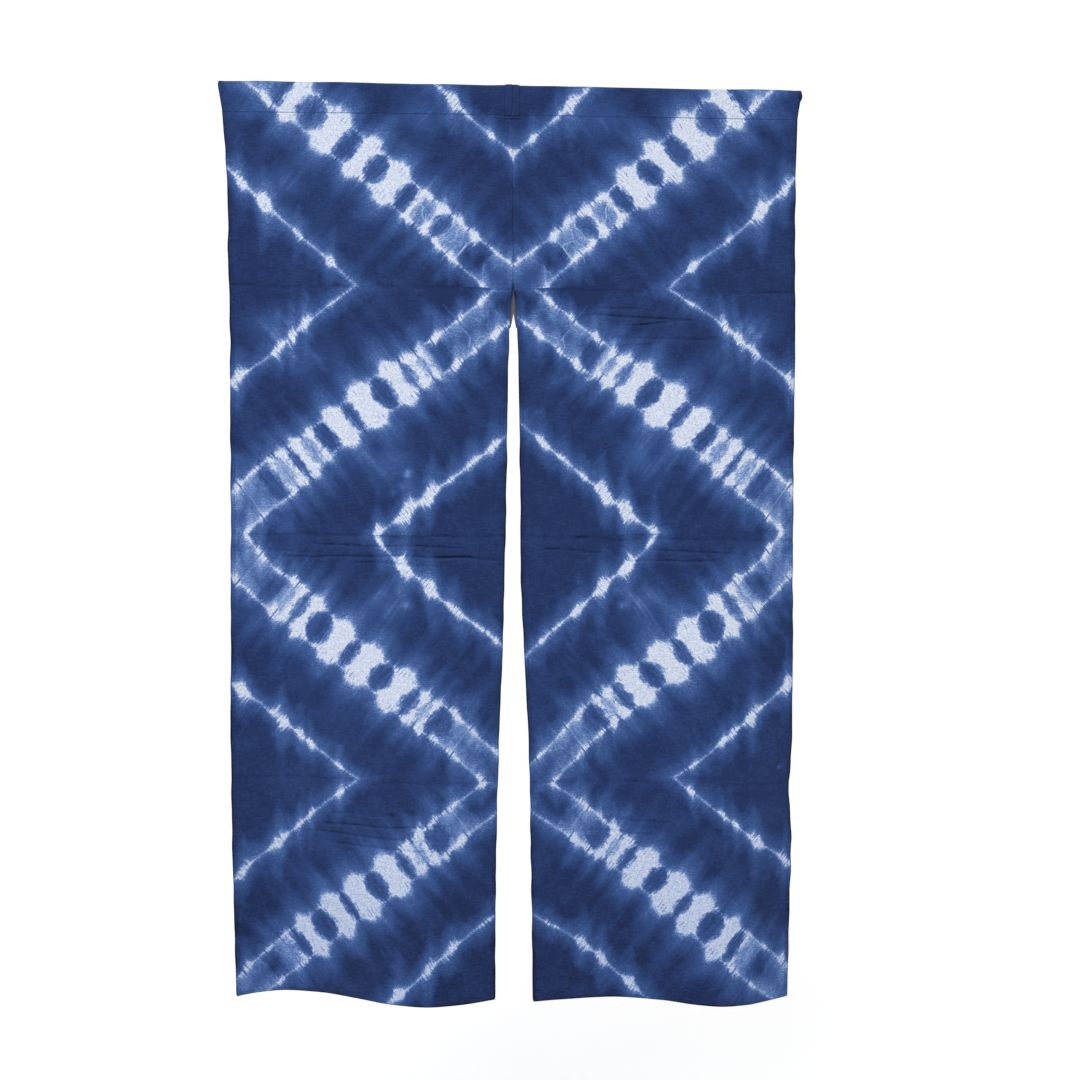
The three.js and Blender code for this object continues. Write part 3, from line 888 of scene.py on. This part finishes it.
def dye_amount(tree, across, drop, seed):
    """The dye's depth over the cloth, from 0 where it stayed white to 1 where it is darkest."""
    along, upper, lower = read_vector(tree, "band")
    outer, inner, ends = read_vector(tree, "thin")
    outer_white, inner_white, _ = read_vector(tree, "thin_white")
    upper_white, lower_white, reach = read_vector(tree, "band_white")
    off_mark, half, blue = read_vector(tree, "mark")
    centre, cross, cross_white = read_vector(tree, "mark_place")
    # Between two marks the stored centre jumps, so the exact distance serves only close to one
    exact = 1.0 - off_mark.step(5.0, 8.0)
    off = off_mark + exact * (abs(along - centre) - off_mark)
    middle = (upper + lower) * 0.5
    band_half = (upper - lower) * 0.5
    beyond = abs(middle) - band_half
    mid_band = (middle / 120.0).hill()
    # Both panels and all folds were tied together, so their frayed edges are alike and change slowly
    layer = drop / 300.0 + seed * 0.004

    def sway(x, y, z, reach, detail, roughness):
        """Soft noise to both sides of zero."""
        return (noise(tree, x, y, z, detail, roughness) - 0.5) * reach

    comb = sway(along * 0.33, middle * 0.045, layer, 4.0, 3.0, 0.72)
    flame = sway(along / 13.0, middle / 75.0, layer + 4.0, 3.0, 2.0, 0.6)
    fade = sway(along * 0.06, middle * 0.02, layer + 8.0, 3.0, 1.0, 0.5)
    wobble = noise(tree, across / 24.0, drop / 24.0, seed + 3.0, 2.0, 0.6) - 0.5
    soft = sway(across / 9.0, drop / 9.0, seed + 4.0, 2.0, 3.0, 0.65)
    clouds = sway(across / 64.0, drop / 50.0, seed + 5.0, 2.0, 4.0, 0.62)
    grain = sway(across / 2.6, drop / 1.5, seed + 6.0, 2.0, 3.0, 0.7)
    web = noise(tree, along / 30.0, middle / 60.0, layer + 7.0, 0.0, 0.5) - 0.5

    # How far a place lies past the white's edge: out of the band's patches, or into one of its blue marks
    beside = off - half * 0.6
    flare = beside.step(0.0, 14.0) * 11.5 - (1.0 - off.step(0.0, 8.0)) * 6.0
    out_of_band = beyond - flare - comb * 5.4 - soft * 6.0 - flame * 3.4 - wobble * 7.0
    past_ends = -ends * 0.8 - comb * 3.0 - soft * 6.0
    bow = (1.0 - (middle / reach) * (middle / reach)).most(0.0).math("POWER", 0.7)
    into_mark = half * bow - off + soft * 7.0 + comb * 2.4 + flame * 1.6 + wobble * 9.0
    past = out_of_band.most(past_ends).most(into_mark * 1.35 - 1.5)
    for distance, white in ((outer, outer_white), (inner, inner_white), (upper, upper_white), (lower, lower_white)):
        past = past.least(past_tied_line(distance, white, comb, fade, wobble))
    # Dye crept further along some threads than along others
    crept = past * (1.0 + flame * 0.3 + clouds * 0.5).most(0.3)

    # The blue that the cloth reaches away from the white
    in_band = (band_half - abs(middle)).step(-4.0, 4.0)
    in_field = in_band * (-ends).step(-16.0, 12.0)
    marked = into_mark.step(-5.0, 6.0)
    crease = nearest([drop - place for place in FAN_CREASES]).step(3.0, 9.0)
    webbed = (abs(web) / 0.014).hill() * crease * 0.1
    field_blue = 0.58 + soft * 0.12 + clouds * 0.08 - webbed
    streaks = off.step(3.0, 20.0) * mid_band
    run = (noise(tree, along / 15.0, middle / 160.0, layer + 11.0, 2.0, 0.6) - 0.52).most(0.0) * 5.0
    deep = 0.91 + clouds * 0.16 + soft * 0.09 - streaks * 0.1 - run * mid_band * 0.12
    patch, _, _ = read_vector(tree, "patch")
    tone = deep + in_field * (field_blue - deep) + patch * (0.75 + run * 0.5)
    tone = tone + in_band * marked * (blue - tone)

    rise = past.step(-3.5, 3.5) * 0.36 + past.step(0.0, 12.0) * 0.24 + crept.step(2.0, 56.0) * 0.4
    # A fine dark line runs through each mark and out of the band, where the needle drew the fold together
    drawn = (off / (1.1 + abs(wobble) * 1.5)).hill() * (1.0 - beyond.step(4.0, 22.0))
    drawn = drawn * (-past).step(-9.0, 3.0)
    # So did the stitches of the tied lines, in the stretches that were pulled tight
    beside_line = nearest([outer, inner, upper, lower]).step(1.0, 9.0)
    stitch = ((along / 6.4 + wobble * 0.9 + flame * 0.1).math("FRACT") - 0.5) / 0.1
    pulled = stitch.hill() * (1.0 - beside_line) * (flame + clouds * 0.6).step(-0.1, 0.5)
    mottle = sway(across / 5.5, drop / 3.8, seed + 9.0, 2.0, 3.0, 0.7)
    crinkle = mottle * 0.12 + grain * 0.27 + soft * 0.07 + 0.02 + drop.step(700.0, 1300.0) * 0.04
    crossed = (abs(along - cross + wobble * 2.0) / (0.9 + abs(wobble) * 1.8)).hill() * cross_white
    crossed = crossed * (0.7 + soft * 0.6) * (1.0 - beyond.step(2.0, 14.0))
    spot, strand, strand_white = read_vector(tree, "spots")
    stranded = (abs(strand + wobble * 1.6) / (1.0 + abs(wobble) * 1.6)).hill() * strand_white * (0.8 + soft * 0.6)
    spotted = (spot * (1.0 + comb * 0.6 + soft)).clamp()
    threads = sway(across / 7.0, drop / 1.7, seed + 10.0, 2.0, 2.0, 0.6)
    # In the half-tones the dye stands in fine streaks, square to the tied line
    half_tone = rise * (1.0 - rise)
    dye = tone * rise + crinkle * (1.1 - rise) + mottle * 0.045 + grain * 0.13 + threads * 0.09 + 0.04
    dye = dye + half_tone * (comb * 0.5 + grain * 0.6 + threads * 0.3) + drawn * 0.42 + pulled * 0.4
    return (dye * (1.0 - crossed) * (1.0 - spotted) * (1.0 - stranded)).clamp()


def weave_height(tree, across, drop, seed):
    """The plain weave with its slubs: thick and thin threads across and a finer warp."""
    thread_pitch = 0.62
    weft = (drop * (2 * math.pi / thread_pitch)).math("SINE")
    warp = (across * (2 * math.pi / thread_pitch)).math("SINE")
    slub = noise(tree, across / 22.0, drop / 0.85, seed + 12.0, 2.0, 0.6)
    warp_slub = noise(tree, across / 0.9, drop / 30.0, seed + 14.0, 2.0, 0.6)
    return slub, warp_slub, weft * 0.16 + warp * 0.12 + slub * 1.1 + warp_slub * 0.45


def indigo_cotton():
    """The dyed cloth: its pattern, its weave, and painted shade on its edges, seams, stitching and creases."""
    material, tree, shader = new_material("indigo_cotton")
    across, drop, seed = read_vector(tree, "cloth")
    slub, warp_slub, height = weave_height(tree, across, drop, seed)
    dye = dye_amount(tree, across, drop, seed)
    # Thick threads take the dye a little less evenly; painted shade darkens the edges, sewing lines and creases, with
    # a little painted highlight beside the seam and the creases
    uneven = (slub - 0.5) * 0.28 + (warp_slub - 0.5) * 0.14
    sewn = 1.0 - drop.step(SLIT_TOP - 12.0, SLIT_TOP)
    edge = (across + sewn * 30.0).least(FLAT_WIDTH - across)
    rim = edge.least(LENGTH - drop).least(abs(drop) + 0.4)
    heading = 1.0 - drop.step(HEADING_DEPTH, HEADING_DEPTH + 8.0)
    strip = 1.0 - across.step(SEAM_STRIP - 1.5, SEAM_STRIP)
    # Painted shade along the seam's folded edges, and painted highlight on the raised seam strip in the heading
    seam = (across / 1.0).hill() * (0.02 + heading * 0.025)
    seam = seam + ((across - SEAM_STRIP) / 1.0).hill() * (0.015 + heading * 0.035) - strip * heading * 0.02
    # Painted shade in the two rows of the bar tack
    tack = ((drop - TACK_ROWS[0]) / 0.9).hill() + ((drop - TACK_ROWS[1]) / 0.8).hill() * 0.8
    tack = tack * (1.0 - across.step(12.0, 13.5)) * 0.13
    # Painted shade along the pocket's stitching line, strongest where the cloth is white
    pocket_place = HEADING_DEPTH + across * (1.0 - seed / PANEL_SEED) * 0.003
    pocket = ((drop - pocket_place) / 0.8).hill() * (1.12 - dye) * 0.17
    # Painted shade on the rims: the side edges, the foot and the curved top edge
    painted_shading = (1.0 - rim.step(0.8, 3.4)) * 0.12 + (1.0 - edge.step(1.0, 9.0)) * 0.04
    # Adds the painted shade of the seam, the tack and the pocket's line, and makes the cloth a little darker towards
    # the bottom
    painted_shading = painted_shading + seam * sewn + tack + pocket + drop.step(1080.0, 1440.0) * 0.045
    # Painted shade in the storage creases, with painted highlight just above them
    _, _, creased = read_vector(tree, "thin_white")
    painted_shading = painted_shading + creased * 0.115
    dye = ((dye + uneven * (0.35 + dye)).clamp() * 0.92 + painted_shading).clamp()
    feed(tree, shader, {"Base Color": ramp(tree, dye, INDIGO)})
    add_bump(tree, shader, height, 0.45, 0.0005)
    feed(tree, shader, {"Roughness": 0.86 + slub * 0.1, "Specular IOR Level": 0.06})
    feed(tree, shader, {"Sheen Weight": 0.03, "Sheen Roughness": 0.6, "Sheen Tint": (0.7, 0.75, 0.95, 1)})
    return material


def place_on_piece(tree):
    """Where a place lies on its piece, in metres."""
    return split_vector(tree, tree.nodes.new("ShaderNodeTexCoord").outputs["Object"])


def sewing_thread():
    """Dark blue cotton thread, a little uneven, with its twist."""
    material, tree, shader = new_material("sewing_thread")
    x, y, z = place_on_piece(tree)
    tint = noise(tree, x * 120.0, y * 120.0, z * 120.0, 2.0)
    stops = table("at colour", [(0.3, (16, 22, 48)), (0.7, (34, 45, 84))])
    feed(tree, shader, {"Base Color": ramp(tree, tint, stops), "Roughness": 0.7, "Specular IOR Level": 0.2})
    add_bump(tree, shader, ((x + y + z) * 6500.0).math("SINE"), 0.3, 0.0001)
    return material


def turned_cotton_painted_shade():
    """The inside of the seam's turnings: dark blue cotton with a fine weave, paler at the ends with a grey painted
    shade colour.
    """
    material, tree, shader = new_material("turned_cotton_painted_shade")
    x, y, z = place_on_piece(tree)
    # The lower ends, behind the slit's top, take a grey painted shade colour
    tint = noise(tree, x * 90.0, y * 90.0, z * 700.0, 3.0) * 0.4 + (-z).step(0.3, 0.36) * 0.6
    stops = table("at colour", [(0.1, (38, 55, 102)), (0.8, (104, 101, 104))])
    feed(tree, shader, {"Base Color": ramp(tree, tint, stops), "Roughness": 0.9, "Specular IOR Level": 0.06})
    add_bump(tree, shader, (x * 10000.0).math("SINE") + (z * 10000.0).math("SINE"), 0.3, 0.0001)
    return material


def floor_paint():
    """Matt white."""
    material, tree, shader = new_material("pale_floor")
    feed(tree, shader, {"Base Color": (1, 1, 1, 1), "Roughness": 0.95, "Specular IOR Level": 0.1})
    return material


def add_stage():
    """A wide pale floor, well below the hem, and a pale even surround."""
    low, far = -1.9, 14.0
    corners = [(-far, -far, low), (far, -far, low), (far, far, low), (-far, far, low)]
    floor = make_mesh("floor", corners, [(0, 1, 2, 3)], floor_paint(), smooth=False)
    world = bpy.data.worlds.new("pale_surround")
    world.use_nodes = True
    feed(world.node_tree, world.node_tree.nodes["Background"], {"Color": (1, 1, 1, 1), "Strength": 1.03})
    bpy.context.scene.world = world


def add_light(name, place, target, size, power):
    """A soft square light, turned to its target."""
    data = bpy.data.lights.new(name, "AREA")
    data.shape = "SQUARE"
    data.size = size
    data.energy = power
    light = bpy.data.objects.new(name, data)
    light.location = place
    light.rotation_euler = (Vector(target) - Vector(place)).to_track_quat("-Z", "Y").to_euler()
    bpy.context.scene.collection.objects.link(light)


def add_camera():
    """The photograph's view: from 2 m in front, a little right of the seam, turned and tipped very slightly."""
    focal_length, picture_width, sensor = 1250, 1080, 36
    place = Vector((0.0167, -2.0213, -0.6431))
    yaw, pitch, roll = math.radians(0.918), math.radians(2.3), math.radians(0.727)
    forward = Vector((math.sin(yaw) * math.cos(pitch), math.cos(yaw) * math.cos(pitch), -math.sin(pitch)))
    right = forward.cross(Vector((0, 0, 1))).normalized()
    up = right.cross(forward)
    right, up = math.cos(roll) * right + math.sin(roll) * up, math.cos(roll) * up - math.sin(roll) * right
    data = bpy.data.cameras.new("camera")
    data.lens, data.sensor_width = focal_length / picture_width * sensor, sensor
    data.clip_end = 60
    camera = bpy.data.objects.new("camera", data)
    turn = Matrix((right, up, -forward)).transposed()
    camera.matrix_world = Matrix.Translation(place) @ turn.to_4x4()
    bpy.context.scene.collection.objects.link(camera)
    bpy.context.scene.camera = camera


add_camera()
add_stage()
add_light("key", (-1.6, -3.0, 0.9), (0, 0, -0.8), 2.6, 45)
bpy.context.scene.view_settings.view_transform = "Standard"

cotton = indigo_cotton()
thread = sewing_thread()
turned = turned_cotton_painted_shade()
faces_of_cloth = {name: cloth_surface(name) for name in SIDES}
surfaces = {name: Surface(*faces) for name, faces in faces_of_cloth.items()}
tack = tack_seam(surfaces, thread)
turning = build_turning(turned)
for name in SIDES:
    sheet = build_sheet(name, faces_of_cloth[name], cotton)
    sewn_on = [sew_panel(name, surfaces[name], thread)]
    if name == "left":
        sewn_on += [tack, turning]
    for piece in (sheet, *sewn_on):
        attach(piece, "root")
    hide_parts(f"panel_{name}", f"heading_{name}")
